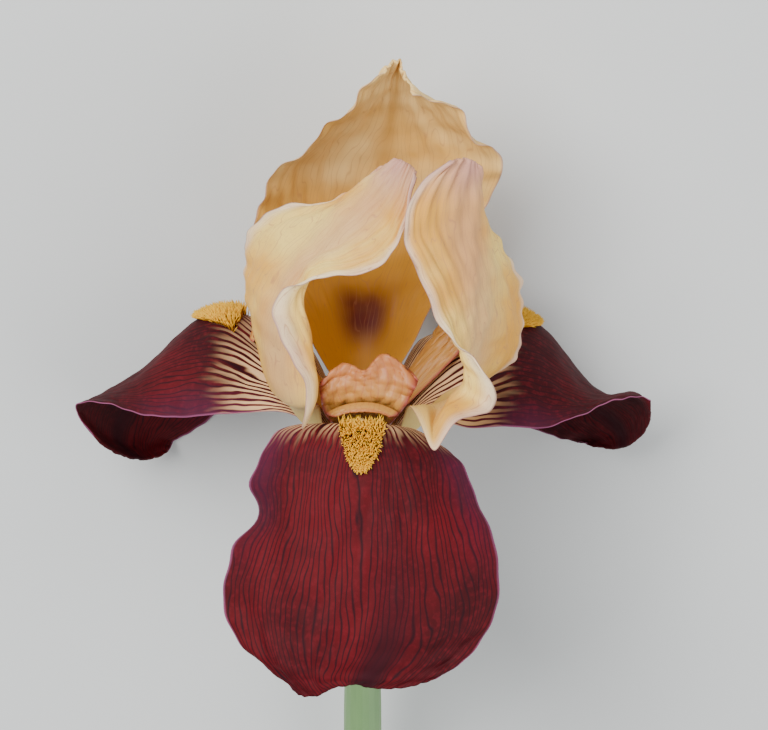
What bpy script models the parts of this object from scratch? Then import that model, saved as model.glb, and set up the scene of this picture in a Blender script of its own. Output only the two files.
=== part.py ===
"""A bearded iris flower, cut with a length of its stem and laid on its back.

Each petal is a sheet lofted through a few ribs. The ribs are written in millimetres in the flower's
face frame: x to the right, y up the flower's face, z towards whoever looks into it. The symmetrical
organs (style arms, stamens, tube, ovary, spathes, stem) are worked out in the axis frame: x to the
right, y along the axis from stem to tips, z to the front. LEAN turns one frame into the other, and
LIE_TILT lays the flower down on its two rear falls and the end of its stem.
"""

import math

import bmesh
import bpy
import numpy as np

MM = 0.001

# ---- driving dimensions, in millimetres and degrees ------------------------------------------------
LEAN = 28.0                      # the axis leans this far towards whoever looks into the face
BASE_Y = -2.0                    # where the petals meet the tube, in the face frame
LIE_TILT = 12.3                  # how far the tips are raised above the stem's cut end
LIE_SHIFT = (-0.5, 23.2, 31.7)   # carries the lying flower to the row's origin

FALL_THICK = 0.6
STANDARD_THICK = 0.5
STYLE_THICK = 0.9
LIP_THICK = 0.5
SIDE_ARM = 0.62                  # width of the rear style arms against the front one
SPATHE_THICK = 0.5
GAP = 0.35                       # clearance between neighbouring pieces
BEARD_START = 0.3                # share of the front fall's length where its beard begins
BEARD_START_REAR = 0.34          # the same on the rear falls
BEARD_END = 0.47                 # share of the fall's length where the beard ends
BEARD_HALF = 4.2                 # half the beard's greatest width
BEARD_HIGH = 1.3                 # height of the beard's hairs
SPATHE_BASE = 4.6                # radius of the spathes where they leave the stem
SPATHE_BELLY = 2.6               # how much further out the spathes swell around the ovary
STEM_LENGTH = 130.0              # from the petals' base to the cut

# ---- style arm, lip and stamen at the front, as (x, along the axis, out from it) -------------------
STYLE_ARM = (
    ((-1.6, 3.4, 2.0), (-0.9, 3.6, 2.1), (0, 3.7, 2.2), (0.9, 3.6, 2.1), (1.6, 3.4, 2.0)),
    ((-3.6, 8.2, 8.2), (-2.0, 9.2, 7.6), (0, 9.7, 7.3), (2.0, 9.2, 7.6), (3.6, 8.2, 8.2)),
    ((-6.0, 15.0, 15.8), (-3.4, 16.6, 14.8), (0, 17.2, 14.4), (3.4, 16.6, 14.8), (6.0, 15.0, 15.8)),
    ((-7.4, 20.4, 21.0), (-3.8, 22.0, 20.6), (0.6, 22.6, 20.6), (4.6, 22.0, 20.6), (8.0, 20.6, 21.0)),
    ((-8.0, 24.6, 21.4), (-4.2, 26.2, 21.0), (0.8, 26.6, 21.2), (5.6, 26.4, 20.6), (10.2, 24.8, 21.2)),
    ((-8.0, 26.6, 21.0), (-3.0, 30.0, 19.6), (0.8, 29.0, 20.4), (4.4, 31.6, 18.6), (11.0, 26.8, 20.6)),
)
STIGMA_LIP = (
    ((-6.8, 20.6, 22.4), (-3.4, 22.0, 22.0), (0.6, 22.6, 21.9), (4.2, 22.0, 22.0), (7.2, 20.6, 22.4)),
    ((-6.2, 20.4, 23.2), (-3.2, 21.8, 23.2), (0.6, 22.4, 23.2), (4.0, 21.8, 23.2), (6.6, 20.4, 23.2)),
    ((-4.8, 20.4, 23.8), (-2.8, 21.4, 24.0), (0.6, 21.8, 24.2), (3.6, 21.4, 24.0), (5.4, 20.4, 23.8)),
)
FILAMENT = ((0, 2.4, 4.0), (0, 5.6, 7.2), (0, 8.8, 9.4), (0, 10.6, 10.8))
ANTHER = ((0, 11.0, 11.4), (0, 12.0, 12.4), (0, 13.8, 14.4), (0, 15.4, 16.2), (0, 16.4, 17.4))

# ---- petal ribs, base to tip, in the face frame ----------------------------------------------------
# Each rib of a fall runs from its left margin over the midrib to its right margin.
FALL_FRONT = (
    ((-3.4, -3.2, 4.2), (-1.8, -3.6, 5.0), (0, -3.7, 5.2), (1.8, -3.6, 5.0), (3.4, -3.2, 4.2)),
    ((-5.6, 0.4, 14.0), (-2.9, -0.2, 14.6), (0, -0.4, 14.8), (2.9, -0.2, 14.6), (5.6, 0.4, 14.0)),
    ((-9.4, 3.0, 25.5), (-5.0, 3.2, 27.0), (0, 3.0, 27.6), (5.0, 3.0, 27.0), (9.4, 2.6, 25.5)),
    ((-15.6, 2.4, 30.5), (-8.0, 2.6, 34.0), (0, 2.4, 35.2), (8.0, 2.0, 34.0), (15.6, -0.6, 30.5)),
    ((-20.0, -3.4, 30.5), (-10.5, -2.4, 36.2), (0, -3.4, 38.0), (10.5, -3.2, 36.4), (20.2, -5.6, 31.0)),
    ((-22.2, -12.0, 29.0), (-11.8, -12.4, 37.5), (0, -13.2, 39.2),
     (12.5, -13.0, 38.0), (24.0, -14.5, 31.0)),
    ((-25.4, -22.5, 29.5), (-13.2, -23.5, 37.6), (0, -24.5, 39.4),
     (13.8, -24.5, 37.6), (26.7, -24.0, 31.0)),
    ((-26.8, -32.0, 31.5), (-14.8, -34.8, 37.0), (-1.2, -36.8, 38.6),
     (13.8, -36.4, 35.6), (25.6, -34.0, 31.0)),
    ((-21.4, -41.0, 33.0), (-13.4, -43.8, 36.5), (-3.4, -44.6, 36.8),
     (9.0, -44.2, 33.8), (21.2, -41.2, 31.5)),
    ((-13.2, -47.8, 33.5), (-9.0, -49.0, 35.0), (-3.2, -46.8, 35.4),
     (5.0, -47.8, 33.0), (14.6, -45.8, 32.0)),
)
# Each rib of a rear fall runs from its near margin over the midrib to its far margin.
FALL_LEFT = (
    ((-5.4, -1.5, 1.2), (-5.2, -1.0, -0.4), (-4.6, -0.2, -2.0), (-3.6, 0.6, -3.2), (-2.2, 1.2, -4.0)),
    ((-13.6, 5.0, 5.0), (-12.4, 7.6, 2.6), (-10.8, 9.8, -0.4), (-9.0, 11.6, -3.4), (-7.4, 12.8, -6.4)),
    ((-21.6, 5.6, 7.6), (-21.4, 13.0, 4.0), (-19.0, 19.0, -1.2),
     (-16.0, 21.4, -7.0), (-12.8, 20.6, -13.0)),
    ((-28.4, 5.2, 9.0), (-29.0, 15.6, 5.0), (-26.6, 25.0, -2.4),
     (-23.2, 23.0, -12.0), (-19.0, 16.0, -20.0)),
    ((-36.0, 4.6, 8.5), (-37.2, 14.4, 3.6), (-34.6, 23.2, -7.0),
     (-31.4, 18.6, -18.0), (-26.6, 9.0, -26.0)),
    ((-43.6, 5.2, 7.5), (-44.8, 11.6, 0.4), (-41.2, 16.2, -12.6),
     (-37.8, 11.6, -23.0), (-32.6, 3.0, -31.0)),
    ((-51.0, 7.2, 5.0), (-51.8, 9.4, -4.6), (-48.8, 9.4, -15.6),
     (-44.2, 4.6, -25.0), (-38.0, 0.0, -31.5)),
    ((-57.2, 7.0, 1.0), (-56.0, 4.8, -7.0), (-52.2, 1.4, -15.6),
     (-46.4, -1.4, -23.6), (-39.4, -1.6, -30.0)),
    ((-54.0, 0.6, -4.0), (-51.0, -2.2, -9.6), (-47.6, -3.8, -15.6),
     (-43.6, -4.2, -21.6), (-40.2, -3.0, -27.6)),
)
FALL_RIGHT = (
    ((5.4, -1.5, 1.2), (5.2, -1.0, -0.4), (4.6, -0.2, -2.0), (3.6, 0.6, -3.2), (2.2, 1.2, -4.0)),
    ((13.2, 4.0, 4.6), (12.4, 7.2, 2.4), (10.8, 9.8, -0.4), (9.0, 11.6, -3.4), (7.4, 12.8, -6.4)),
    ((20.5, 2.6, 7.4), (21.2, 10.6, 4.4), (19.0, 19.0, -1.2), (16.0, 21.4, -7.0), (12.8, 20.6, -13.0)),
    ((27.4, 2.8, 10.0), (29.4, 13.0, 6.6), (28.4, 24.4, -2.4), (24.6, 23.4, -12.0), (20.0, 16.0, -20.0)),
    ((34.6, 2.4, 9.0), (37.4, 11.2, 4.6), (36.8, 22.0, -7.0), (32.8, 19.0, -18.0), (27.6, 9.0, -26.0)),
    ((40.4, 3.8, 8.0), (43.4, 8.8, 2.0), (42.6, 15.2, -12.6), (38.8, 11.6, -23.0), (33.2, 3.0, -31.0)),
    ((46.6, 6.4, 6.0), (49.4, 8.6, -2.6), (48.6, 8.4, -14.6), (44.6, 4.6, -24.0), (39.4, 0.4, -31.0)),
    ((52.6, 8.6, 4.0), (55.4, 9.0, -4.0), (54.0, 4.4, -13.6), (49.6, 0.6, -22.6), (43.6, -0.8, -29.0)),
    ((57.8, 8.0, 0.0), (57.6, 3.0, -6.0), (54.8, -0.8, -12.6), (51.0, -2.2, -19.6), (46.0, -1.2, -25.6)),
)
# Each rib of a front standard runs from the margin by the mouth over the keel to its rear margin.
STANDARD_LEFT = (
    ((-4.0, -2.2, 4.0), (-4.3, -2.1, 3.6), (-4.6, -1.9, 3.2),
     (-4.9, -1.7, 2.8), (-5.1, -1.5, 2.5), (-5.3, -1.2, 2.1)),
    ((-7.4, 2.0, 14.4), (-8.6, 2.0, 13.0), (-10.0, 2.2, 11.0),
     (-11.2, 3.0, 8.8), (-11.8, 4.0, 6.8), (-11.6, 5.2, 5.0)),
    ((-8.6, 7.2, 27.6), (-9.8, 6.4, 23.8), (-11.8, 6.0, 19.6),
     (-14.2, 7.0, 15.4), (-15.2, 8.6, 12.2), (-14.8, 10.4, 9.2)),
    ((-11.2, 2.6, 38.8), (-9.2, 7.2, 33.0), (-12.5, 7.2, 26.0),
     (-16.6, 9.0, 18.5), (-18.0, 11.0, 13.5), (-17.0, 13.4, 9.6)),
    ((-10.8, 10.0, 38.0), (-8.6, 11.0, 33.5), (-13.5, 12.2, 27.0),
     (-18.6, 15.0, 19.5), (-20.3, 18.0, 13.5), (-20.0, 20.0, 8.5)),
    ((-14.5, 18.0, 37.5), (-9.5, 18.5, 33.0), (-13.8, 19.5, 29.0),
     (-18.8, 22.0, 23.5), (-22.0, 25.5, 16.0), (-22.0, 28.0, 10.0)),
    ((-17.0, 25.5, 37.8), (-11.2, 25.5, 34.0), (-13.6, 26.5, 31.0),
     (-17.4, 28.5, 27.5), (-22.0, 31.5, 19.0), (-23.2, 34.5, 12.0)),
    ((-11.5, 31.2, 38.5), (-10.0, 32.0, 36.0), (-11.0, 33.2, 34.0),
     (-13.0, 34.5, 31.0), (-19.0, 38.0, 22.5), (-22.6, 40.0, 14.0)),
    ((-3.4, 32.0, 40.5), (-4.4, 34.0, 39.0), (-6.0, 36.5, 37.0),
     (-8.0, 39.8, 34.0), (-14.0, 43.0, 26.0), (-18.5, 45.0, 19.0)),
    ((4.6, 34.8, 42.0), (3.0, 37.5, 40.8), (0.5, 41.0, 39.0),
     (-2.8, 45.2, 36.5), (-7.0, 46.0, 30.0), (-10.0, 46.6, 24.5)),
    ((8.2, 41.0, 43.0), (7.0, 43.5, 42.0), (4.8, 46.5, 40.5),
     (1.8, 50.0, 38.5), (-1.5, 48.5, 33.0), (-4.0, 47.5, 29.0)),
    ((10.5, 51.0, 43.0), (10.0, 53.0, 42.0), (8.5, 54.0, 41.5),
     (6.8, 54.6, 40.5), (4.0, 53.3, 37.5), (2.0, 51.5, 35.0)),
)
STANDARD_RIGHT = (
    ((4.0, -2.2, 4.0), (4.3, -2.1, 3.6), (4.6, -1.9, 3.2),
     (4.9, -1.7, 2.8), (5.1, -1.5, 2.5), (5.3, -1.2, 2.1)),
    ((7.4, 2.0, 14.4), (8.8, 2.0, 12.8), (10.4, 2.2, 10.6),
     (11.6, 3.0, 8.6), (12.2, 4.0, 6.8), (12.0, 5.2, 5.2)),
    ((9.0, 7.0, 27.6), (10.6, 6.4, 24.4), (13.0, 6.4, 19.8),
     (15.6, 7.4, 15.4), (17.0, 8.4, 12.0), (17.0, 9.8, 9.2)),
    ((11.6, 3.2, 38.6), (12.6, 6.2, 35.0), (14.5, 7.0, 29.0),
     (18.4, 9.0, 21.0), (21.4, 10.6, 15.0), (22.6, 11.8, 10.4)),
    ((14.2, -1.4, 41.6), (13.8, 2.0, 39.4), (15.2, 6.0, 32.0),
     (19.8, 10.0, 23.0), (23.6, 11.6, 15.5), (25.2, 12.6, 10.4)),
    ((18.0, 3.6, 39.5), (16.2, 6.0, 36.5), (18.0, 9.4, 30.5),
     (22.5, 13.8, 22.0), (27.0, 15.0, 15.0), (29.0, 15.0, 10.0)),
    ((24.5, 5.8, 35.0), (20.0, 9.0, 34.0), (20.5, 13.0, 29.5),
     (24.0, 17.5, 22.5), (29.0, 18.5, 14.5), (31.4, 18.0, 9.0)),
    ((25.8, 10.5, 34.5), (20.2, 14.0, 35.0), (21.0, 18.0, 31.0),
     (25.0, 22.0, 25.0), (29.8, 23.0, 16.0), (31.8, 23.0, 10.0)),
    ((21.0, 16.5, 37.0), (18.5, 19.0, 36.5), (21.0, 22.5, 33.0),
     (25.0, 27.0, 27.5), (30.0, 28.0, 18.0), (31.6, 28.0, 11.5)),
    ((15.2, 23.0, 40.0), (17.0, 25.5, 38.5), (20.5, 28.0, 35.0),
     (24.6, 32.0, 29.5), (29.0, 33.0, 20.5), (30.6, 33.0, 14.0)),
    ((11.0, 32.0, 43.0), (14.0, 33.5, 41.5), (18.5, 35.0, 38.0),
     (23.8, 37.5, 32.5), (26.8, 38.0, 25.0), (28.0, 37.8, 19.5)),
    ((8.2, 40.0, 45.5), (11.5, 40.5, 44.0), (17.0, 41.5, 40.5),
     (23.2, 43.0, 36.0), (24.4, 42.5, 30.0), (24.4, 41.5, 25.5)),
    ((10.2, 48.0, 46.5), (13.5, 47.8, 45.5), (18.0, 48.0, 43.0),
     (23.0, 48.5, 39.5), (22.8, 47.5, 35.0), (21.8, 46.0, 31.5)),
    ((17.0, 54.0, 46.5), (18.5, 54.3, 46.0), (20.5, 54.4, 45.0),
     (22.4, 53.5, 43.5), (22.8, 52.0, 40.5), (22.0, 50.5, 37.5)),
)
# Each rib of the back standard runs from its left margin over the midrib to its right margin.
STANDARD_BACK = (
    ((-1.2, 1.9, -3.9), (-0.8, 1.85, -4.0), (-0.4, 1.8, -4.05), (0, 1.8, -4.1),
     (0.4, 1.8, -4.05), (0.8, 1.85, -4.0), (1.2, 1.9, -3.9)),
    ((-4.6, 10.0, -4.6), (-3.1, 10.0, -5.6), (-1.5, 10.0, -6.3), (0, 10.0, -6.6),
     (1.5, 10.0, -6.3), (3.1, 10.0, -5.6), (4.6, 10.0, -4.6)),
    ((-10.0, 19.5, -2.0), (-7.0, 18.8, -5.5), (-3.5, 18.0, -8.3), (0.3, 18.0, -9.3),
     (4.0, 18.0, -8.3), (7.5, 18.8, -5.5), (10.4, 19.5, -2.0)),
    ((-14.0, 28.0, -3.0), (-9.6, 27.5, -6.2), (-5.0, 27.0, -8.6), (0.6, 26.5, -9.6),
     (6.0, 27.0, -8.6), (10.6, 27.5, -6.6), (14.6, 28.0, -4.0)),
    ((-20.0, 37.0, 5.0), (-14.0, 37.0, -1.0), (-7.0, 36.5, -6.0), (1.6, 36.0, -8.0),
     (9.0, 36.5, -6.0), (15.5, 37.0, -2.0), (21.0, 37.0, 3.0)),
    ((-20.5, 46.0, 10.0), (-14.5, 46.5, 4.0), (-7.0, 46.0, -1.5), (2.6, 45.5, -4.0),
     (11.0, 46.0, -1.5), (18.0, 46.5, 2.5), (24.5, 46.5, 7.0)),
    ((-16.5, 53.5, 15.0), (-11.5, 54.5, 10.0), (-5.0, 55.0, 5.0), (4.0, 54.5, 2.5),
     (12.5, 55.0, 4.5), (20.0, 54.5, 9.0), (28.0, 54.5, 13.0)),
    ((-8.0, 60.0, 21.0), (-5.0, 61.5, 17.0), (0.0, 63.0, 13.0), (5.6, 63.0, 11.0),
     (12.0, 62.5, 13.0), (17.5, 62.5, 16.5), (23.0, 59.0, 20.0)),
    ((-2.0, 65.5, 27.0), (0.5, 67.0, 24.5), (3.5, 68.5, 22.0), (6.8, 69.0, 20.5),
     (10.5, 67.5, 21.5), (14.0, 66.5, 23.5), (18.5, 65.0, 25.0)),
    ((4.0, 72.0, 31.5), (5.2, 73.0, 31.0), (6.4, 73.8, 30.5), (7.6, 73.8, 30.0),
     (8.3, 72.0, 30.0), (9.0, 70.0, 30.0), (9.6, 67.5, 29.5)),
)


# ---- surfaces --------------------------------------------------------------------------------------
def spline_weights(count, at):
    """Weights that carry `count` evenly spaced knots to a natural cubic spline's values at `at` (0 to 1)."""
    bend = np.eye(count)
    change = np.zeros((count, count))
    for i in range(1, count - 1):
        bend[i, i - 1:i + 2] = 1.0, 4.0, 1.0
        change[i, i - 1:i + 2] = 6.0, -12.0, 6.0
    second = np.linalg.solve(bend, change)
    place = np.clip(np.asarray(at, float), 0, 1) * (count - 1)
    low = np.minimum(place.astype(int), count - 2)
    b = (place - low)[:, None]
    a = 1 - b
    knots = np.eye(count)
    return (a * knots[low] + b * knots[low + 1]
            + ((a**3 - a) * second[low] + (b**3 - b) * second[low + 1]) / 6)


def lofted(ribs, along, across):
    """Points of the sheet through the ribs, as an array of rows along it and columns across it."""
    net = np.array(ribs, float)
    return np.einsum("ai,bj,ijk->abk", spline_weights(len(net), along),
                     spline_weights(net.shape[1], across), net)


def sheet_normals(points):
    """Unit normals of a sheet of points, on the side that faces up when rows run out and columns run right."""
    along = np.gradient(points, axis=0)
    across = np.gradient(points, axis=1)
    normal = np.cross(along, across)
    return normal / np.linalg.norm(normal, axis=2, keepdims=True)


# ---- frames ----------------------------------------------------------------------------------------
def turn_x(points, degrees):
    """Points turned about the x axis."""
    c, s = math.cos(math.radians(degrees)), math.sin(math.radians(degrees))
    return np.asarray(points, float) @ np.array(((1, 0, 0), (0, c, s), (0, -s, c)))


def turn_y(points, degrees):
    """Points turned about the y axis; a positive turn carries the front to the right."""
    c, s = math.cos(math.radians(degrees)), math.sin(math.radians(degrees))
    return np.asarray(points, float) @ np.array(((c, 0, -s), (0, 1, 0), (s, 0, c)))


def axis_to_face(points):
    """Axis frame to face frame."""
    return turn_x(points, LEAN) + np.array((0, BASE_Y, 0))


def face_to_row(points):
    """Face frame to the row's frame, in metres, with the flower lying on its back."""
    on_axis = turn_x(np.asarray(points, float) - np.array((0, BASE_Y, 0)), -LEAN)
    return (turn_x(on_axis, LIE_TILT) + np.array(LIE_SHIFT)) * MM


# ---- building in Blender ---------------------------------------------------------------------------
def clear_scene():
    for item in list(bpy.data.objects):
        bpy.data.objects.remove(item, do_unlink=True)


def material(name, colour, roughness):
    made = bpy.data.materials.new(name)
    made.use_nodes = True
    shader = made.node_tree.nodes["Principled BSDF"]
    shader.inputs["Base Color"].default_value = (*colour, 1.0)
    shader.inputs["Roughness"].default_value = roughness
    shader.inputs["Metallic"].default_value = 0.0
    return made


def add_solid(name, face_points, faces, look):
    """One closed body from points in the face frame."""
    mesh = bpy.data.meshes.new(name)
    mesh.from_pydata([tuple(p) for p in face_to_row(face_points)], [], faces)
    body = bmesh.new()
    body.from_mesh(mesh)
    bmesh.ops.recalc_face_normals(body, faces=body.faces)
    if body.calc_volume(signed=True) < 0:
        bmesh.ops.reverse_faces(body, faces=body.faces)
    bmesh.ops.triangulate(body, faces=body.faces)
    body.to_mesh(mesh)
    body.free()
    item = bpy.data.objects.new(name, mesh)
    item.data.materials.append(look)
    bpy.context.scene.collection.objects.link(item)
    return item


def shell(name, top, bottom, look):
    """A closed body between two sheets that have the same rows and columns."""
    rows, columns = top.shape[:2]
    under = rows * columns

    def at(i, j):
        return i * columns + j

    faces = []
    for i in range(rows - 1):
        for j in range(columns - 1):
            quad = (at(i, j), at(i, j + 1), at(i + 1, j + 1), at(i + 1, j))
            faces.append(quad)
            faces.append(tuple(under + k for k in reversed(quad)))
    rim = [at(0, j) for j in range(columns)]
    rim += [at(i, columns - 1) for i in range(1, rows)]
    rim += [at(rows - 1, j) for j in range(columns - 2, -1, -1)]
    rim += [at(i, 0) for i in range(rows - 2, 0, -1)]
    for a, b in zip(rim, rim[1:] + rim[:1]):
        faces.append((a, a + under, b + under, b))
    points = np.concatenate((top.reshape(-1, 3), bottom.reshape(-1, 3)))
    return add_solid(name, points, faces, look)


def petal(name, ribs, rows, columns, thick, look):
    middle = lofted(ribs, np.linspace(0, 1, rows), np.linspace(0, 1, columns))
    lift = sheet_normals(middle) * thick / 2
    return shell(name, middle + lift, middle - lift, look)


def beard(name, ribs, side, start, look):
    """A tapering mound of hairs along a fall's midrib; side is -1 where the sheet's normal points down."""
    middle = lofted(ribs, np.linspace(start, BEARD_END, 13), np.linspace(0, 1, 41))
    normal = sheet_normals(middle) * side
    width = np.sqrt(np.clip(1 - np.linspace(0.25, 0.97, 13) ** 3, 0, 1)) * BEARD_HALF
    top, bottom = [], []
    for i in range(13):
        run = np.linalg.norm(np.diff(middle[i], axis=0), axis=1)
        place = np.concatenate(((0,), np.cumsum(run)))
        place -= place[20]
        across = np.linspace(-1, 1, 7) * width[i]
        base = np.stack([np.interp(across, place, middle[i, :, k]) for k in range(3)], axis=1)
        up = np.stack([np.interp(across, place, normal[i, :, k]) for k in range(3)], axis=1)
        mound = BEARD_HIGH * width[i] / BEARD_HALF * np.sqrt(1.02 - np.linspace(-1, 1, 7) ** 2)
        bottom.append(base + up * (FALL_THICK / 2 + GAP))
        top.append(base + up * (FALL_THICK / 2 + GAP + 0.4 + mound)[:, None])
    return shell(name, np.array(top), np.array(bottom), look)


def tube(name, path, radii, sides, look, flatten=1.0):
    """A solid rod in the face frame that follows a path, with a radius at each of its points."""
    path = np.array(path, float)
    along = np.gradient(path, axis=0)
    along /= np.linalg.norm(along, axis=1, keepdims=True)
    points, faces = [], []
    for centre, run, radius in zip(path, along, radii):
        first = np.cross(run, (1.0, 0.0, 0.0))
        first /= np.linalg.norm(first)
        second = np.cross(run, first)
        for k in range(sides):
            a = 2 * math.pi * k / sides
            points.append(centre + radius * (math.cos(a) * first * flatten + math.sin(a) * second))
    for i in range(len(path) - 1):
        for k in range(sides):
            n = (k + 1) % sides
            faces.append((i * sides + k, i * sides + n, (i + 1) * sides + n, (i + 1) * sides + k))
    faces.append(tuple(range(sides)))
    faces.append(tuple((len(path) - 1) * sides + k for k in range(sides)))
    return add_solid(name, np.array(points), faces, look)


# ---- the organs around the axis --------------------------------------------------------------------
def turned_ribs(ribs, azimuth, width=1.0):
    """Ribs turned about the axis, in the face frame."""
    scale = np.array((width, 1.0, 1.0))
    return [axis_to_face(turn_y(np.array(rib) * scale, azimuth)) for rib in ribs]


def style_organs(place, azimuth, width, looks):
    """The style arm, the lip under its crest and the stamen it shelters."""
    petal("style_arm_" + place, turned_ribs(STYLE_ARM, azimuth, width), 11, 9, STYLE_THICK, looks["style"])
    petal("stigma_lip_" + place, turned_ribs(STIGMA_LIP, azimuth, width), 3, 9, LIP_THICK, looks["lip"])
    filament = axis_to_face(turn_y(FILAMENT, azimuth))
    tube("filament_" + place, filament, (0.7, 0.65, 0.6, 0.5), 8, looks["filament"])
    anther = axis_to_face(turn_y(ANTHER, azimuth))
    tube("anther_" + place, anther, (0.45, 0.9, 1.0, 0.9, 0.4), 8, looks["anther"], 0.75)


def spathe(name, turn, top_h, base_h, spread, look):
    """A boat-shaped papery bract that wraps the ovary."""
    ribs = []
    for step in np.linspace(0, 1, 7):
        h = base_h + (top_h - base_h) * step
        radius = SPATHE_BASE + SPATHE_BELLY * math.sin(math.pi * min(1.0, step * 1.1) * 0.8) ** 2
        half = math.radians(spread) * (1 - step ** 3 * 0.96)
        ribs.append([(radius * math.sin(a), h, radius * math.cos(a)) for a in np.linspace(-half, half, 7)])
    petal(name, [axis_to_face(turn_y(rib, turn)) for rib in ribs], 11, 9, SPATHE_THICK, look)


def on_axis(heights):
    """Points on the flower's axis at the given heights, in the face frame."""
    return axis_to_face([(0, h, 0) for h in heights])


def build():
    clear_scene()
    looks = {
        "fall": material("fall", (0.13, 0.004, 0.012), 0.6),
        "beard": material("beard", (0.74, 0.36, 0.03), 0.9),
        "standard": material("standard", (0.74, 0.57, 0.32), 0.6),
        "style": material("style", (0.58, 0.24, 0.11), 0.6),
        "lip": material("lip", (0.62, 0.38, 0.2), 0.6),
        "filament": material("filament", (0.55, 0.5, 0.6), 0.6),
        "anther": material("anther", (0.8, 0.7, 0.4), 0.8),
        "tube": material("tube", (0.36, 0.42, 0.14), 0.55),
        "ovary": material("ovary", (0.16, 0.26, 0.08), 0.5),
        "spathe": material("spathe", (0.2, 0.17, 0.16), 0.6),
        "stem": material("stem", (0.16, 0.28, 0.1), 0.5),
    }
    falls = (("front", FALL_FRONT, 1, BEARD_START), ("left", FALL_LEFT, -1, BEARD_START_REAR),
             ("right", FALL_RIGHT, 1, BEARD_START_REAR))
    for place, ribs, side, start in falls:
        petal("fall_" + place, ribs, 15, 10, FALL_THICK, looks["fall"])
        beard("beard_" + place, ribs, side, start, looks["beard"])
    for place, ribs in (("left", STANDARD_LEFT), ("right", STANDARD_RIGHT), ("back", STANDARD_BACK)):
        petal("standard_" + place, ribs, 17, 10, STANDARD_THICK, looks["standard"])
    for place, azimuth, width in (("front", 0.0, 1.0), ("left", -120.0, SIDE_ARM), ("right", 120.0, SIDE_ARM)):
        style_organs(place, azimuth, width, looks)
    tube("style_column", on_axis((0.35, 1.2, 2.2)), (2.2, 2.0, 1.5), 12, looks["style"])
    tube("perianth_tube", on_axis((-20.0, -12.0, -5.0, -1.5, 0.0)), (3.0, 2.8, 3.8, 5.6, 6.4), 18, looks["tube"])
    tube("ovary", on_axis((-42.0, -38.0, -31.0, -25.0, -20.35)), (3.4, 4.4, 5.0, 4.4, 3.2), 18, looks["ovary"])
    spathe("spathe_outer", 0.0, -6.0, -44.0, 80.0, looks["spathe"])
    spathe("spathe_inner", 180.0, -10.0, -44.0, 80.0, looks["spathe"])
    tube("stem", on_axis((-STEM_LENGTH, -STEM_LENGTH + 30, -60.0, -42.35)), (4.1, 4.1, 3.9, 3.5), 18, looks["stem"])


build()
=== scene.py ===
"""The looks of the bearded iris: fine petals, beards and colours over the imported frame."""

import math

import bmesh
import bpy
import numpy as np
from mathutils import Matrix, Vector


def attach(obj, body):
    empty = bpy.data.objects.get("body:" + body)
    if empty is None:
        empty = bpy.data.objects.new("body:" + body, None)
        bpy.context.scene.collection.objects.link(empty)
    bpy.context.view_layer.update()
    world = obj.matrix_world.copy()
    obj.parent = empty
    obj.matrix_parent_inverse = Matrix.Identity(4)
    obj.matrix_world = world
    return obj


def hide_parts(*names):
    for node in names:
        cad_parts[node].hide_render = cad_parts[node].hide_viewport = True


MM = 0.001
AIM_X = 4.4                      # where the camera's axis crosses the face frame
AIM_Y = 15.0
FAR = 1000.0                     # the camera's distance from the flower's axis
LENS = 234.0
BITE_AT = 0.575                  # where along the front fall its left margin is bitten in
BITE_DEEP = 4.5                  # how far, in millimetres
FALL_GRID = (110, 80)            # rows and columns of each fall's fine mesh
STANDARD_GRID = (110, 80)        # the same for each standard
ARM_GRID = (50, 50)              # the same for each style arm
LIP_GRID = (12, 40)              # the same for each stigma lip
FALL_THIN = 0.4                  # thickness of the fine petals, in millimetres
STANDARD_THIN = 0.3
ARM_THIN = 0.7
LIP_THIN = 0.4
HAIRS = 1400                     # hairs in each beard

# ---- driving dimensions, in millimetres and degrees ------------------------------------------------
LEAN = 28.0                      # the axis leans this far towards whoever looks into the face
BASE_Y = -2.0                    # where the petals meet the tube, in the face frame
LIE_TILT = 12.3                  # how far the tips are raised above the stem's cut end
LIE_SHIFT = (-0.5, 23.2, 31.7)   # carries the lying flower to the row's origin

SIDE_ARM = 0.62                  # width of the rear style arms against the front one
BEARD_START = 0.3                # share of the front fall's length where its beard begins
BEARD_START_REAR = 0.34          # the same on the rear falls
BEARD_END = 0.47                 # share of the fall's length where the beard ends
BEARD_HALF = 4.2                 # half the beard's greatest width

# ---- style arm and lip at the front, as (x, along the axis, out from it) ----------------------------
STYLE_ARM = (
    ((-1.6, 3.4, 2.0), (-0.9, 3.6, 2.1), (0, 3.7, 2.2), (0.9, 3.6, 2.1), (1.6, 3.4, 2.0)),
    ((-3.6, 8.2, 8.2), (-2.0, 9.2, 7.6), (0, 9.7, 7.3), (2.0, 9.2, 7.6), (3.6, 8.2, 8.2)),
    ((-6.0, 15.0, 15.8), (-3.4, 16.6, 14.8), (0, 17.2, 14.4), (3.4, 16.6, 14.8), (6.0, 15.0, 15.8)),
    ((-7.4, 20.4, 21.0), (-3.8, 22.0, 20.6), (0.6, 22.6, 20.6), (4.6, 22.0, 20.6), (8.0, 20.6, 21.0)),
    ((-8.0, 24.6, 21.4), (-4.2, 26.2, 21.0), (0.8, 26.6, 21.2), (5.6, 26.4, 20.6), (10.2, 24.8, 21.2)),
    ((-8.0, 26.6, 21.0), (-3.0, 30.0, 19.6), (0.8, 29.0, 20.4), (4.4, 31.6, 18.6), (11.0, 26.8, 20.6)),
)
STIGMA_LIP = (
    ((-6.8, 20.6, 22.4), (-3.4, 22.0, 22.0), (0.6, 22.6, 21.9), (4.2, 22.0, 22.0), (7.2, 20.6, 22.4)),
    ((-6.2, 20.4, 23.2), (-3.2, 21.8, 23.2), (0.6, 22.4, 23.2), (4.0, 21.8, 23.2), (6.6, 20.4, 23.2)),
    ((-4.8, 20.4, 23.8), (-2.8, 21.4, 24.0), (0.6, 21.8, 24.2), (3.6, 21.4, 24.0), (5.4, 20.4, 23.8)),
)

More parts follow.
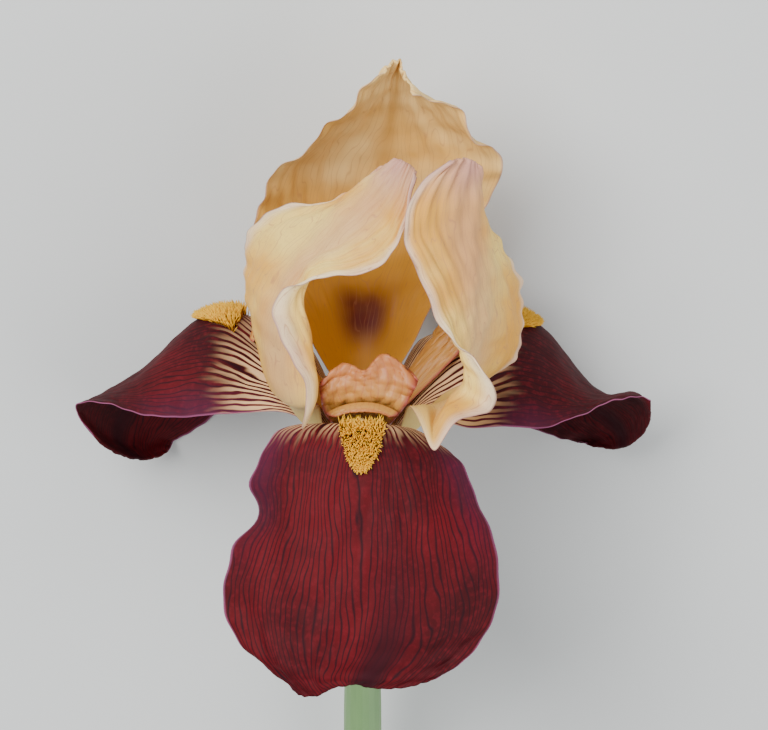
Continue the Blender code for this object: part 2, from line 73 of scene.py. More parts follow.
# ---- petal ribs, base to tip, in the face frame ----------------------------------------------------
# Each rib of a fall runs from its left margin over the midrib to its right margin.
FALL_FRONT = (
    ((-3.4, -3.2, 4.2), (-1.8, -3.6, 5.0), (0, -3.7, 5.2), (1.8, -3.6, 5.0), (3.4, -3.2, 4.2)),
    ((-5.6, 0.4, 14.0), (-2.9, -0.2, 14.6), (0, -0.4, 14.8), (2.9, -0.2, 14.6), (5.6, 0.4, 14.0)),
    ((-9.4, 3.0, 25.5), (-5.0, 3.2, 27.0), (0, 3.0, 27.6), (5.0, 3.0, 27.0), (9.4, 2.6, 25.5)),
    ((-15.6, 2.4, 30.5), (-8.0, 2.6, 34.0), (0, 2.4, 35.2), (8.0, 2.0, 34.0), (15.6, -0.6, 30.5)),
    ((-20.0, -3.4, 30.5), (-10.5, -2.4, 36.2), (0, -3.4, 38.0), (10.5, -3.2, 36.4), (20.2, -5.6, 31.0)),
    ((-22.2, -12.0, 29.0), (-11.8, -12.4, 37.5), (0, -13.2, 39.2),
     (12.5, -13.0, 38.0), (24.0, -14.5, 31.0)),
    ((-25.4, -22.5, 29.5), (-13.2, -23.5, 37.6), (0, -24.5, 39.4),
     (13.8, -24.5, 37.6), (26.7, -24.0, 31.0)),
    ((-26.8, -32.0, 31.5), (-14.8, -34.8, 37.0), (-1.2, -36.8, 38.6),
     (13.8, -36.4, 35.6), (25.6, -34.0, 31.0)),
    ((-21.4, -41.0, 33.0), (-13.4, -43.8, 36.5), (-3.4, -44.6, 36.8),
     (9.0, -44.2, 33.8), (21.2, -41.2, 31.5)),
    ((-13.2, -47.8, 33.5), (-9.0, -49.0, 35.0), (-3.2, -46.8, 35.4),
     (5.0, -47.8, 33.0), (14.6, -45.8, 32.0)),
)
# Each rib of a rear fall runs from its near margin over the midrib to its far margin.
FALL_LEFT = (
    ((-5.4, -1.5, 1.2), (-5.2, -1.0, -0.4), (-4.6, -0.2, -2.0), (-3.6, 0.6, -3.2), (-2.2, 1.2, -4.0)),
    ((-13.6, 5.0, 5.0), (-12.4, 7.6, 2.6), (-10.8, 9.8, -0.4), (-9.0, 11.6, -3.4), (-7.4, 12.8, -6.4)),
    ((-21.6, 5.6, 7.6), (-21.4, 13.0, 4.0), (-19.0, 19.0, -1.2),
     (-16.0, 21.4, -7.0), (-12.8, 20.6, -13.0)),
    ((-28.4, 5.2, 9.0), (-29.0, 15.6, 5.0), (-26.6, 25.0, -2.4),
     (-23.2, 23.0, -12.0), (-19.0, 16.0, -20.0)),
    ((-36.0, 4.6, 8.5), (-37.2, 14.4, 3.6), (-34.6, 23.2, -7.0),
     (-31.4, 18.6, -18.0), (-26.6, 9.0, -26.0)),
    ((-43.6, 5.2, 7.5), (-44.8, 11.6, 0.4), (-41.2, 16.2, -12.6),
     (-37.8, 11.6, -23.0), (-32.6, 3.0, -31.0)),
    ((-51.0, 7.2, 5.0), (-51.8, 9.4, -4.6), (-48.8, 9.4, -15.6),
     (-44.2, 4.6, -25.0), (-38.0, 0.0, -31.5)),
    ((-57.2, 7.0, 1.0), (-56.0, 4.8, -7.0), (-52.2, 1.4, -15.6),
     (-46.4, -1.4, -23.6), (-39.4, -1.6, -30.0)),
    ((-54.0, 0.6, -4.0), (-51.0, -2.2, -9.6), (-47.6, -3.8, -15.6),
     (-43.6, -4.2, -21.6), (-40.2, -3.0, -27.6)),
)
FALL_RIGHT = (
    ((5.4, -1.5, 1.2), (5.2, -1.0, -0.4), (4.6, -0.2, -2.0), (3.6, 0.6, -3.2), (2.2, 1.2, -4.0)),
    ((13.2, 4.0, 4.6), (12.4, 7.2, 2.4), (10.8, 9.8, -0.4), (9.0, 11.6, -3.4), (7.4, 12.8, -6.4)),
    ((20.5, 2.6, 7.4), (21.2, 10.6, 4.4), (19.0, 19.0, -1.2), (16.0, 21.4, -7.0), (12.8, 20.6, -13.0)),
    ((27.4, 2.8, 10.0), (29.4, 13.0, 6.6), (28.4, 24.4, -2.4), (24.6, 23.4, -12.0), (20.0, 16.0, -20.0)),
    ((34.6, 2.4, 9.0), (37.4, 11.2, 4.6), (36.8, 22.0, -7.0), (32.8, 19.0, -18.0), (27.6, 9.0, -26.0)),
    ((40.4, 3.8, 8.0), (43.4, 8.8, 2.0), (42.6, 15.2, -12.6), (38.8, 11.6, -23.0), (33.2, 3.0, -31.0)),
    ((46.6, 6.4, 6.0), (49.4, 8.6, -2.6), (48.6, 8.4, -14.6), (44.6, 4.6, -24.0), (39.4, 0.4, -31.0)),
    ((52.6, 8.6, 4.0), (55.4, 9.0, -4.0), (54.0, 4.4, -13.6), (49.6, 0.6, -22.6), (43.6, -0.8, -29.0)),
    ((57.8, 8.0, 0.0), (57.6, 3.0, -6.0), (54.8, -0.8, -12.6), (51.0, -2.2, -19.6), (46.0, -1.2, -25.6)),
)
# Each rib of a front standard runs from the margin by the mouth over the keel to its rear margin.
STANDARD_LEFT = (
    ((-4.0, -2.2, 4.0), (-4.3, -2.1, 3.6), (-4.6, -1.9, 3.2),
     (-4.9, -1.7, 2.8), (-5.1, -1.5, 2.5), (-5.3, -1.2, 2.1)),
    ((-7.4, 2.0, 14.4), (-8.6, 2.0, 13.0), (-10.0, 2.2, 11.0),
     (-11.2, 3.0, 8.8), (-11.8, 4.0, 6.8), (-11.6, 5.2, 5.0)),
    ((-8.6, 7.2, 27.6), (-9.8, 6.4, 23.8), (-11.8, 6.0, 19.6),
     (-14.2, 7.0, 15.4), (-15.2, 8.6, 12.2), (-14.8, 10.4, 9.2)),
    ((-11.2, 2.6, 38.8), (-9.2, 7.2, 33.0), (-12.5, 7.2, 26.0),
     (-16.6, 9.0, 18.5), (-18.0, 11.0, 13.5), (-17.0, 13.4, 9.6)),
    ((-10.8, 10.0, 38.0), (-8.6, 11.0, 33.5), (-13.5, 12.2, 27.0),
     (-18.6, 15.0, 19.5), (-20.3, 18.0, 13.5), (-20.0, 20.0, 8.5)),
    ((-14.5, 18.0, 37.5), (-9.5, 18.5, 33.0), (-13.8, 19.5, 29.0),
     (-18.8, 22.0, 23.5), (-22.0, 25.5, 16.0), (-22.0, 28.0, 10.0)),
    ((-17.0, 25.5, 37.8), (-11.2, 25.5, 34.0), (-13.6, 26.5, 31.0),
     (-17.4, 28.5, 27.5), (-22.0, 31.5, 19.0), (-23.2, 34.5, 12.0)),
    ((-11.5, 31.2, 38.5), (-10.0, 32.0, 36.0), (-11.0, 33.2, 34.0),
     (-13.0, 34.5, 31.0), (-19.0, 38.0, 22.5), (-22.6, 40.0, 14.0)),
    ((-3.4, 32.0, 40.5), (-4.4, 34.0, 39.0), (-6.0, 36.5, 37.0),
     (-8.0, 39.8, 34.0), (-14.0, 43.0, 26.0), (-18.5, 45.0, 19.0)),
    ((4.6, 34.8, 42.0), (3.0, 37.5, 40.8), (0.5, 41.0, 39.0),
     (-2.8, 45.2, 36.5), (-7.0, 46.0, 30.0), (-10.0, 46.6, 24.5)),
    ((8.2, 41.0, 43.0), (7.0, 43.5, 42.0), (4.8, 46.5, 40.5),
     (1.8, 50.0, 38.5), (-1.5, 48.5, 33.0), (-4.0, 47.5, 29.0)),
    ((10.5, 51.0, 43.0), (10.0, 53.0, 42.0), (8.5, 54.0, 41.5),
     (6.8, 54.6, 40.5), (4.0, 53.3, 37.5), (2.0, 51.5, 35.0)),
)
STANDARD_RIGHT = (
    ((4.0, -2.2, 4.0), (4.3, -2.1, 3.6), (4.6, -1.9, 3.2),
     (4.9, -1.7, 2.8), (5.1, -1.5, 2.5), (5.3, -1.2, 2.1)),
    ((7.4, 2.0, 14.4), (8.8, 2.0, 12.8), (10.4, 2.2, 10.6),
     (11.6, 3.0, 8.6), (12.2, 4.0, 6.8), (12.0, 5.2, 5.2)),
    ((9.0, 7.0, 27.6), (10.6, 6.4, 24.4), (13.0, 6.4, 19.8),
     (15.6, 7.4, 15.4), (17.0, 8.4, 12.0), (17.0, 9.8, 9.2)),
    ((11.6, 3.2, 38.6), (12.6, 6.2, 35.0), (14.5, 7.0, 29.0),
     (18.4, 9.0, 21.0), (21.4, 10.6, 15.0), (22.6, 11.8, 10.4)),
    ((14.2, -1.4, 41.6), (13.8, 2.0, 39.4), (15.2, 6.0, 32.0),
     (19.8, 10.0, 23.0), (23.6, 11.6, 15.5), (25.2, 12.6, 10.4)),
    ((18.0, 3.6, 39.5), (16.2, 6.0, 36.5), (18.0, 9.4, 30.5),
     (22.5, 13.8, 22.0), (27.0, 15.0, 15.0), (29.0, 15.0, 10.0)),
    ((24.5, 5.8, 35.0), (20.0, 9.0, 34.0), (20.5, 13.0, 29.5),
     (24.0, 17.5, 22.5), (29.0, 18.5, 14.5), (31.4, 18.0, 9.0)),
    ((25.8, 10.5, 34.5), (20.2, 14.0, 35.0), (21.0, 18.0, 31.0),
     (25.0, 22.0, 25.0), (29.8, 23.0, 16.0), (31.8, 23.0, 10.0)),
    ((21.0, 16.5, 37.0), (18.5, 19.0, 36.5), (21.0, 22.5, 33.0),
     (25.0, 27.0, 27.5), (30.0, 28.0, 18.0), (31.6, 28.0, 11.5)),
    ((15.2, 23.0, 40.0), (17.0, 25.5, 38.5), (20.5, 28.0, 35.0),
     (24.6, 32.0, 29.5), (29.0, 33.0, 20.5), (30.6, 33.0, 14.0)),
    ((11.0, 32.0, 43.0), (14.0, 33.5, 41.5), (18.5, 35.0, 38.0),
     (23.8, 37.5, 32.5), (26.8, 38.0, 25.0), (28.0, 37.8, 19.5)),
    ((8.2, 40.0, 45.5), (11.5, 40.5, 44.0), (17.0, 41.5, 40.5),
     (23.2, 43.0, 36.0), (24.4, 42.5, 30.0), (24.4, 41.5, 25.5)),
    ((10.2, 48.0, 46.5), (13.5, 47.8, 45.5), (18.0, 48.0, 43.0),
     (23.0, 48.5, 39.5), (22.8, 47.5, 35.0), (21.8, 46.0, 31.5)),
    ((17.0, 54.0, 46.5), (18.5, 54.3, 46.0), (20.5, 54.4, 45.0),
     (22.4, 53.5, 43.5), (22.8, 52.0, 40.5), (22.0, 50.5, 37.5)),
)
# Each rib of the back standard runs from its left margin over the midrib to its right margin.
STANDARD_BACK = (
    ((-1.2, 1.9, -3.9), (-0.8, 1.85, -4.0), (-0.4, 1.8, -4.05), (0, 1.8, -4.1),
     (0.4, 1.8, -4.05), (0.8, 1.85, -4.0), (1.2, 1.9, -3.9)),
    ((-4.6, 10.0, -4.6), (-3.1, 10.0, -5.6), (-1.5, 10.0, -6.3), (0, 10.0, -6.6),
     (1.5, 10.0, -6.3), (3.1, 10.0, -5.6), (4.6, 10.0, -4.6)),
    ((-10.0, 19.5, -2.0), (-7.0, 18.8, -5.5), (-3.5, 18.0, -8.3), (0.3, 18.0, -9.3),
     (4.0, 18.0, -8.3), (7.5, 18.8, -5.5), (10.4, 19.5, -2.0)),
    ((-14.0, 28.0, -3.0), (-9.6, 27.5, -6.2), (-5.0, 27.0, -8.6), (0.6, 26.5, -9.6),
     (6.0, 27.0, -8.6), (10.6, 27.5, -6.6), (14.6, 28.0, -4.0)),
    ((-20.0, 37.0, 5.0), (-14.0, 37.0, -1.0), (-7.0, 36.5, -6.0), (1.6, 36.0, -8.0),
     (9.0, 36.5, -6.0), (15.5, 37.0, -2.0), (21.0, 37.0, 3.0)),
    ((-20.5, 46.0, 10.0), (-14.5, 46.5, 4.0), (-7.0, 46.0, -1.5), (2.6, 45.5, -4.0),
     (11.0, 46.0, -1.5), (18.0, 46.5, 2.5), (24.5, 46.5, 7.0)),
    ((-16.5, 53.5, 15.0), (-11.5, 54.5, 10.0), (-5.0, 55.0, 5.0), (4.0, 54.5, 2.5),
     (12.5, 55.0, 4.5), (20.0, 54.5, 9.0), (28.0, 54.5, 13.0)),
    ((-8.0, 60.0, 21.0), (-5.0, 61.5, 17.0), (0.0, 63.0, 13.0), (5.6, 63.0, 11.0),
     (12.0, 62.5, 13.0), (17.5, 62.5, 16.5), (23.0, 59.0, 20.0)),
    ((-2.0, 65.5, 27.0), (0.5, 67.0, 24.5), (3.5, 68.5, 22.0), (6.8, 69.0, 20.5),
     (10.5, 67.5, 21.5), (14.0, 66.5, 23.5), (18.5, 65.0, 25.0)),
    ((4.0, 72.0, 31.5), (5.2, 73.0, 31.0), (6.4, 73.8, 30.5), (7.6, 73.8, 30.0),
     (8.3, 72.0, 30.0), (9.0, 70.0, 30.0), (9.6, 67.5, 29.5)),
)


# ---- surfaces --------------------------------------------------------------------------------------
def spline_weights(count, at):
    """Weights that carry `count` even knots to a natural cubic spline's values at `at` (0 to 1)."""
    bend = np.eye(count)
    change = np.zeros((count, count))
    for i in range(1, count - 1):
        bend[i, i - 1:i + 2] = 1.0, 4.0, 1.0
        change[i, i - 1:i + 2] = 6.0, -12.0, 6.0
    second = np.linalg.solve(bend, change)
    place = np.clip(np.asarray(at, float), 0, 1) * (count - 1)
    low = np.minimum(place.astype(int), count - 2)
    b = (place - low)[:, None]
    a = 1 - b
    knots = np.eye(count)
    return (a * knots[low] + b * knots[low + 1]
            + ((a**3 - a) * second[low] + (b**3 - b) * second[low + 1]) / 6)


def lofted(ribs, along, across):
    """Points of the sheet through the ribs, as an array of rows along it and columns across it."""
    net = np.array(ribs, float)
    return np.einsum("ai,bj,ijk->abk", spline_weights(len(net), along),
                     spline_weights(net.shape[1], across), net)


def sheet_normals(points):
    along = np.gradient(points, axis=0)
    across = np.gradient(points, axis=1)
    normal = np.cross(along, across)
    return normal / np.linalg.norm(normal, axis=2)[:, :, None]


def turn_x(points, degrees):
    """Points turned about the x axis."""
    c, s = math.cos(math.radians(degrees)), math.sin(math.radians(degrees))
    return np.asarray(points, float) @ np.array(((1, 0, 0), (0, c, s), (0, -s, c)))


def turn_y(points, degrees):
    """Points turned about the y axis; a positive turn carries the front to the right."""
    c, s = math.cos(math.radians(degrees)), math.sin(math.radians(degrees))
    return np.asarray(points, float) @ np.array(((c, 0, -s), (0, 1, 0), (s, 0, c)))


def axis_to_face(points):
    return turn_x(points, LEAN) + np.array((0, BASE_Y, 0))


def face_to_row(points):
    on_axis = turn_x(np.asarray(points, float) - np.array((0, BASE_Y, 0)), -LEAN)
    return (turn_x(on_axis, LIE_TILT) + np.array(LIE_SHIFT)) * MM


def turned_ribs(ribs, azimuth, width=1.0):
    """Ribs turned about the axis, in the face frame."""
    scale = np.array((width, 1.0, 1.0))
    return [axis_to_face(turn_y(np.array(rib) * scale, azimuth)) for rib in ribs]


# ---- meshes ----------------------------------------------------------------------------------------
def new_piece(name, face_points, faces, uvs, slot, node):
    """A smooth mesh in the row's frame that rides on the root and takes a CAD node's place."""
    mesh = bpy.data.meshes.new(name)
    mesh.from_pydata([tuple(p) for p in face_to_row(face_points)], [], faces)
    layer = mesh.uv_layers.new(name="Petal")
    corners = np.array([loop.vertex_index for loop in mesh.loops])
    layer.data.foreach_set("uv", np.asarray(uvs, np.float32)[corners].ravel())
    mesh.polygons.foreach_set("use_smooth", [True] * len(mesh.polygons))
    mesh.update()
    item = bpy.data.objects.new(name, mesh)
    bpy.context.scene.collection.objects.link(item)
    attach(item, "root")
    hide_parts(node)
    item.data.materials.append(LOOKS[slot])
    return item


def face_out(item):
    """Turns every face of a closed mesh outwards."""
    body = bmesh.new()
    body.from_mesh(item.data)
    bmesh.ops.recalc_face_normals(body, faces=body.faces)
    body.to_mesh(item.data)
    body.free()


def fine_sheet(name, ribs, grid, thick, slot, ruffle, waves, seed=0.0):
    """A thin closed petal with small ruffles that grow towards its margins."""
    rows, columns = grid
    u = np.linspace(0, 1, rows)
    v = np.linspace(0, 1, columns)
    middle = lofted(ribs, u, v)
    normal = sheet_normals(middle)
    edge = (np.abs(2 * v - 1) ** 3)[None, :]
    out = np.clip((u - 0.25) / 0.3, 0, 1)[:, None]
    wave = np.sin(2 * math.pi * waves * u + seed)[:, None] * np.where(v < 0.5, 1.0, -0.8)[None, :]
    wave = wave + 0.5 * np.sin(2 * math.pi * waves * 2.3 * u + 2 * seed)[:, None]
    crimp = 0.25 * np.sin(2 * math.pi * 9 * v[None, :] + 3 * u[:, None] + seed) * u[:, None] ** 4
    phase_u = 2 * math.pi * u[:, None]
    phase_v = 2 * math.pi * v[None, :]
    broad = np.sin(5 * phase_u + 2 * np.sin(2 * phase_v + seed))
    broad = broad * np.sin(3.5 * phase_v + 1.5 * phase_u + seed)
    small = np.sin(11 * phase_u + 7 * phase_v) * np.sin(8 * phase_v - 4 * phase_u + seed)
    crinkle = broad + 0.5 * small
    middle = middle + normal * ((wave * edge * out + crimp + 0.7 * crinkle * out) * ruffle)[:, :, None]
    normal = sheet_normals(middle)
    veins = 0.035 * np.sin(2 * math.pi * 26 * v)[None, :, None] * out[:, :, None]
    taper = np.clip(np.minimum(v, 1 - v) * 30, 0.35, 1.0)[None, :, None]
    top = middle + normal * (thick / 2 * taper + veins)
    bottom = middle - normal * (thick / 2 * taper - veins)
    under = rows * columns
    index = np.arange(under).reshape(rows, columns)
    corners = (index[:-1, :-1], index[:-1, 1:], index[1:, 1:], index[1:, :-1])
    quads = np.stack(corners, axis=-1).reshape(-1, 4)
    faces = [tuple(int(k) for k in quad[::-1]) for quad in quads]
    faces += [tuple(int(k) + under for k in quad) for quad in quads]
    rim = list(index[0]) + list(index[1:, -1]) + list(index[-1, -2::-1]) + list(index[-2:0:-1, 0])
    for a, b in zip(rim, rim[1:] + rim[:1]):
        faces.append((int(a), int(b), int(b) + under, int(a) + under))
    uvs = np.stack(np.broadcast_arrays(v[None, :], u[:, None]), axis=-1).reshape(-1, 2)
    points = np.concatenate((top.reshape(-1, 3), bottom.reshape(-1, 3)))
    item = new_piece("fine_" + name, points, faces, np.concatenate((uvs, uvs)), slot, name)
    face_out(item)
    return item


def with_bite(ribs):
    """The front fall's ribs with the small bite that curls its left margin in."""
    u = np.linspace(0, 1, 28)
    v = np.linspace(0, 1, 17)
    net = lofted(ribs, u, v)
    pull = np.exp(-((u - BITE_AT) / 0.022) ** 2)[:, None] * np.exp(-(v / 0.13) ** 2)[None, :]
    net[:, :, 0] += BITE_DEEP * pull
    net[:, :, 2] += 0.4 * BITE_DEEP * pull
    return net


def beard_hairs(name, ribs, side, start, seed):
    """Hundreds of short tapering hairs along a fall's midrib."""
    rng = np.random.default_rng(seed)
    middle = lofted(ribs, np.linspace(start, BEARD_END, 60), np.linspace(0, 1, 81))
    normal = sheet_normals(middle) * side
    points, faces, uvs = [], [], []
    for _ in range(HAIRS):
        step = rng.random() ** 0.8
        row = int(step * 59)
        width = math.sqrt(max(0.02, 1 - (0.2 + 0.8 * step) ** 3)) * BEARD_HALF
        place = np.concatenate(((0,), np.cumsum(np.linalg.norm(np.diff(middle[row], axis=0), axis=1))))
        place -= place[40]
        across = rng.uniform(-1, 1) * width
        root = np.array([np.interp(across, place, middle[row, :, k]) for k in range(3)])
        up = np.array([np.interp(across, place, normal[row, :, k]) for k in range(3)])
        out = middle[min(row + 1, 59), 40] - middle[row - 1 if row else 0, 40]
        out /= np.linalg.norm(out)
        lean = up + 0.55 * out + rng.normal(0, 0.28, 3)
        lean /= np.linalg.norm(lean)
        length = rng.uniform(1.8, 3.1) * (1 - 0.35 * step)
        side_way = np.cross(lean, up + 0.1)
        side_way /= np.linalg.norm(side_way)
        other = np.cross(lean, side_way)
        first = len(points)
        for share, radius in ((0.0, 0.14), (0.6, 0.11)):
            for k in range(4):
                a = math.pi / 2 * k
                ring = radius * (math.cos(a) * side_way + math.sin(a) * other)
                points.append(root + up * 0.25 + lean * length * share + ring)
                uvs.append((rng.random() * 0.05 + across / 20 + 0.5, share))
        points.append(root + up * 0.25 + lean * length)
        uvs.append((0.5, 1.0))
        faces.append((first + 3, first + 2, first + 1, first))
        for k in range(4):
            n = (k + 1) % 4
            faces.append((first + k, first + n, first + 4 + n, first + 4 + k))
            faces.append((first + 4 + k, first + 4 + n, first + 8))
    item = new_piece("fine_" + name, np.array(points), faces, uvs, "beard", name)
    face_out(item)
    return item


# ---- materials -------------------------------------------------------------------------------------
class Look:
    """A material with a few shorthands for its nodes."""

    def __init__(self, name, roughness):
        self.material = bpy.data.materials.new(name)
        self.material.use_nodes = True
        self.nodes = self.material.node_tree.nodes
        self.links = self.material.node_tree.links
        self.shader = self.nodes["Principled BSDF"]
        self.shader.inputs["Roughness"].default_value = roughness
        uv = self.nodes.new("ShaderNodeUVMap")
        uv.uv_map = "Petal"
        split = self.nodes.new("ShaderNodeSeparateXYZ")
        self.links.new(uv.outputs[0], split.inputs[0])
        self.uv = uv.outputs[0]
        self.across = split.outputs[0]
        self.along = split.outputs[1]
        coordinates = self.nodes.new("ShaderNodeTexCoord")
        self.object = coordinates.outputs["Object"]

    def _put(self, value, socket):
        if isinstance(value, bpy.types.NodeSocket):
            self.links.new(value, socket)
        else:
            socket.default_value = value

    def math(self, operation, a, b=0.0):
        node = self.nodes.new("ShaderNodeMath")
        node.operation = operation
        self._put(a, node.inputs[0])
        self._put(b, node.inputs[1])
        return node.outputs[0]

    def step(self, value, low, high):
        node = self.nodes.new("ShaderNodeMapRange")
        node.interpolation_type = "SMOOTHSTEP"
        self._put(value, node.inputs["Value"])
        node.inputs["From Min"].default_value = low
        node.inputs["From Max"].default_value = high
        return node.outputs["Result"]

    def noise(self, vector, scale, detail=3.0, stretch=(1, 1, 1)):
        mapping = self.nodes.new("ShaderNodeMapping")
        mapping.inputs["Scale"].default_value = stretch
        self.links.new(vector, mapping.inputs["Vector"])
        node = self.nodes.new("ShaderNodeTexNoise")
        node.inputs["Scale"].default_value = scale
        node.inputs["Detail"].default_value = detail
        self.links.new(mapping.outputs[0], node.inputs["Vector"])
        return node.outputs["Fac"]

    def mix(self, factor, a, b):
        node = self.nodes.new("ShaderNodeMix")
        node.data_type = "RGBA"
        self._put(factor, node.inputs[0])
        self._put(a if isinstance(a, bpy.types.NodeSocket) else (*a, 1.0), node.inputs[6])
        self._put(b if isinstance(b, bpy.types.NodeSocket) else (*b, 1.0), node.inputs[7])
        return node.outputs[2]

    def stripes(self, count, wander):
        """1 on the veins that run from the petal's base to its margin, 0 between them."""
        drift = self.noise(self.uv, 5.0, 3.0, (1.0, 0.6, 1.0))
        bend = self.math("MULTIPLY", drift, wander)
        place = self.math("ADD", self.math("MULTIPLY", self.across, count), bend)
        return self.math("ABSOLUTE", self.math("SINE", place))

    def from_midrib(self):
        return self.math("ABSOLUTE", self.math("SUBTRACT", self.math("MULTIPLY", self.across, 2.0), 1.0))

    def finish(self, colour):
        self.links.new(colour, self.shader.inputs["Base Color"])
        return self.material


def fall_look():
    """Deep wine-red velvet with darker veins and a streaked haft, plus a painted violet sheen near the
    shoulders, painted shade in a valley of the lower blade and a painted pale highlight along the margin.
    """
    look = Look("fall_fine", 0.72)
    look.shader.inputs["Specular IOR Level"].default_value = 0.18
    veins = look.step(look.stripes(150.0, 26.0), 0.0, 0.7)
    clouds = look.noise(look.object, 45.0, 5.0)
    grain = look.noise(look.object, 900.0, 2.0)
    red = look.mix(look.step(clouds, 0.35, 0.7), (0.035, 0.0003, 0.002), (0.105, 0.001, 0.004))
    plush = look.mix(look.math("MULTIPLY", look.step(grain, 0.45, 0.7), 0.35), red, (0.14, 0.004, 0.01))
    dark = look.mix(veins, (0.02, 0.0003, 0.003), plush)
    # Painted shade: the valley beside the midrib darkens on the blade's lower part.
    valley_shade_mask = look.math("MULTIPLY", look.step(look.across, 0.5, 0.6), look.step(look.across, 0.72, 0.62))
    low_valley_shade = look.math("MULTIPLY", valley_shade_mask, look.step(look.along, 0.55, 0.9))
    with_crease_shade = look.mix(low_valley_shade, dark, (0.03, 0.0006, 0.004))
    sides = look.step(look.from_midrib(), 0.6, 1.0)
    # Painted sheen: a violet sheen over the blade's sides near the shoulders.
    shoulder_sheen_mask = look.math("MULTIPLY", sides, look.step(look.along, 0.75, 0.4))
    with_violet_sheen = look.mix(look.math("MULTIPLY", shoulder_sheen_mask, 0.35), with_crease_shade, (0.12, 0.015, 0.06))
    uneven = look.math("MULTIPLY", look.noise(look.uv, 14.0, 3.0, (1.6, 0.4, 1)), 0.16)
    ends = look.math("ADD", look.along, uneven)
    haft = look.math("MULTIPLY", look.step(ends, 0.5, 0.3), look.step(look.stripes(95.0, 16.0), 0.45, 0.85))
    streaked = look.mix(haft, with_violet_sheen, (0.8, 0.5, 0.25))
    # Painted highlight: a pale mauve band along the fall's margin, where the blade turns away at a grazing
    # angle.
    rim = look.step(look.from_midrib(), 0.975, 1.0)
    return look.finish(look.mix(look.math("MULTIPLY", rim, 0.6), streaked, (0.42, 0.12, 0.25)))


def standard_look():
    """Apricot cream, golden towards the claw, with fine veins, a thin purple-brown margin and a painted
    pale highlight band just inside it.
    """
    look = Look("standard_fine", 0.6)
    look.shader.inputs["Specular IOR Level"].default_value = 0.3
    clouds = look.noise(look.object, 45.0, 4.0)
    cream = look.mix(look.step(clouds, 0.38, 0.66), (0.72, 0.34, 0.04), (0.86, 0.6, 0.15))
    keel = look.math("MULTIPLY", look.step(look.from_midrib(), 0.45, 0.05), 0.55)
    warm = look.mix(keel, cream, (0.58, 0.3, 0.18))
    # Painted highlight: a pale lavender-white band just inside the margins.
    pale = look.math("MULTIPLY", look.step(look.from_midrib(), 0.74, 0.96), 0.34)
    light = look.mix(pale, warm, (0.84, 0.8, 0.86))
    golden = look.mix(look.step(look.along, 0.42, 0.1), light, (0.66, 0.46, 0.12))
    branches = look.noise(look.uv, 34.0, 2.0, (3.0, 1.0, 1.0))
    fine = look.step(look.math("ABSOLUTE", look.math("SUBTRACT", branches, 0.5)), 0.02, 0.0)
    long_veins = look.step(look.stripes(110.0, 46.0), 0.3, 0.0)
    veins = look.math("MAXIMUM", long_veins, look.math("MULTIPLY", fine, 0.6))
    veined = look.mix(look.math("MULTIPLY", veins, 0.55), golden, (0.46, 0.2, 0.1))
    tip = look.math("MULTIPLY", look.step(look.along, 0.88, 1.0), 0.6)
    tipped = look.mix(tip, veined, (0.48, 0.22, 0.25))
    rim = look.step(look.from_midrib(), 0.972, 1.0)
    return look.finish(look.mix(look.math("MULTIPLY", rim, 0.75), tipped, (0.32, 0.14, 0.14)))


def back_standard_look():
    """As the other standards, with a red-brown veined patch inside its base, painted shade deepening the
    gold of its lower part and painted shade in the midrib's crease above.
    """
    look = Look("standard_back_fine", 0.5)
    clouds = look.noise(look.object, 45.0, 4.0)
    cream = look.mix(look.step(clouds, 0.35, 0.7), (0.68, 0.36, 0.07), (0.84, 0.58, 0.22))
    # Painted shade: the gold deepens over the lower part of the inside.
    golden = look.mix(look.step(look.along, 0.62, 0.4), cream, (0.68, 0.34, 0.03))
    middle = look.math("MULTIPLY", look.step(look.from_midrib(), 0.5, 0.1), look.step(look.along, 0.2, 0.3))
    patch = look.math("MULTIPLY", middle, look.step(look.along, 0.42, 0.34))
    blotch = look.math("MULTIPLY", patch, look.step(clouds, 0.2, 0.5))
    spotted = look.mix(blotch, golden, (0.16, 0.015, 0.004))
    veins = look.math("MULTIPLY", look.step(look.stripes(110.0, 40.0), 0.35, 0.0), 0.4)
    veined = look.mix(veins, spotted, (0.45, 0.2, 0.08))
    # Painted shade along the midrib's crease over the upper half.
    crease_shade_mask = look.math("MULTIPLY", look.step(look.from_midrib(), 0.12, 0.0), look.step(look.along, 0.5, 0.6))
    with_crease_shade = look.mix(look.math("MULTIPLY", crease_shade_mask, 0.6), veined, (0.5, 0.25, 0.05))
    rim = look.step(look.from_midrib(), 0.975, 1.0)
    return look.finish(look.mix(look.math("MULTIPLY", rim, 0.6), with_crease_shade, (0.36, 0.18, 0.2)))


def style_look():
    """Rose-apricot with fine veins and rosy edges."""
    look = Look("style_fine", 0.5)
    veins = look.math("MULTIPLY", look.step(look.stripes(40.0, 6.0), 0.4, 0.0), 0.4)
    body = look.mix(look.step(look.along, 0.5, 1.0), (0.52, 0.25, 0.05), (0.46, 0.15, 0.035))
    veined = look.mix(veins, body, (0.34, 0.07, 0.03))
    return look.finish(look.mix(look.step(look.from_midrib(), 0.85, 1.0), veined, (0.36, 0.07, 0.05)))


def beard_look():
    """Golden hairs, deeper orange at the root."""
    look = Look("beard_fine", 0.7)
    return look.finish(look.mix(look.along, (0.6, 0.24, 0.005), (0.88, 0.5, 0.02)))


def mottled_look(name, light, dark, scale, stretch, roughness):
    """Green or papery tissue with long uneven streaks."""
    look = Look(name, roughness)
    streaks = look.noise(look.object, scale, 5.0, stretch)
    return look.finish(look.mix(look.step(streaks, 0.35, 0.68), dark, light))


